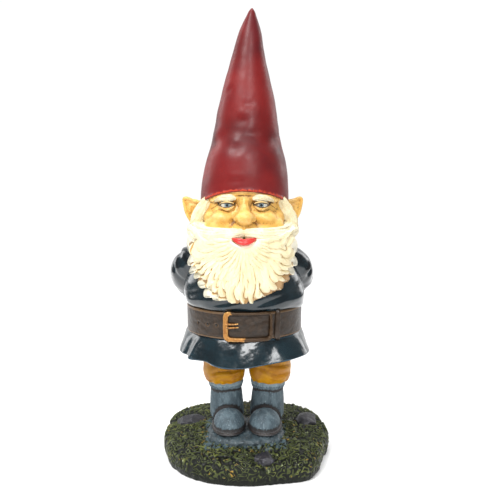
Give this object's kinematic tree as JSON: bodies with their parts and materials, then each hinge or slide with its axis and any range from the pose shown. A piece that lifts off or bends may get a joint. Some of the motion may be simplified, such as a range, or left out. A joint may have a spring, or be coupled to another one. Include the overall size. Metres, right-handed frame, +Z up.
{
  "type": "garden gnome",
  "caption": "Standing garden gnome in a tall pointed hat, belted tunic and felt boots on an oval mossy plinth, cast and painted.",
  "frame": {"origin": "centre of the plinth's underside", "axes": "+Z up the figure, the gnome faces -Y, its left hand side is +X"},
  "size_m": [0.1304, 0.1214, 0.34],
  "materials": {
    "moss": "painted resin, moss green with yellow-green dry brush",
    "slab_stone": "painted resin, blue-grey",
    "field_stone": "painted resin, dark blue-grey",
    "sole_leather": "painted resin, dark brown",
    "boot_felt": "painted resin, grey-blue felt",
    "cuff_felt": "painted resin, pale grey-blue felt",
    "breeches_cloth": "painted resin, mustard yellow",
    "steel_rod": "plain steel",
    "tunic_cloth": "painted resin, glossy navy blue",
    "belt_leather": "painted resin, brown leather",
    "buckle_brass": "metallic gold paint on resin",
    "skin": "painted resin, ochre with brown wash",
    "eye_paint": "painted resin, grey-blue",
    "lip_paint": "painted resin, red",
    "hair_white": "painted resin, white",
    "beard_cream": "painted resin, cream with yellow-brown wash",
    "hat_felt": "painted resin, dark red with a satin gloss"
  },
  "bodies": {
    "root": {"base_ground": "moss", "foot_slab": "slab_stone", "stone_left": "field_stone", "stone_right": "field_stone", "stone_front": "field_stone", "sole_left": "sole_leather", "sole_right": "sole_leather", "boot_left": "boot_felt", "boot_right": "boot_felt", "boot_cuff_left": "cuff_felt", "boot_cuff_right": "cuff_felt", "breeches_left": "breeches_cloth", "breeches_right": "breeches_cloth", "leg_rod_left": "steel_rod", "leg_rod_right": "steel_rod", "tunic_skirt": "tunic_cloth", "tunic_body": "tunic_cloth", "sleeve_left": "tunic_cloth", "sleeve_right": "tunic_cloth", "belt": "belt_leather", "belt_keeper": "belt_leather", "belt_buckle": "buckle_brass", "buckle_prong": "buckle_brass", "head": "skin", "ear_left": "skin", "ear_right": "skin", "hand_left": "skin", "hand_right": "skin", "eye_left": "eye_paint", "eye_right": "eye_paint", "lips": "lip_paint", "brow_left": "hair_white", "brow_right": "hair_white", "moustache": "hair_white", "sideburn_left": "hair_white", "sideburn_right": "hair_white", "back_hair": "hair_white", "beard": "beard_cream", "hat": "hat_felt"}
  },
  "joints": []
}
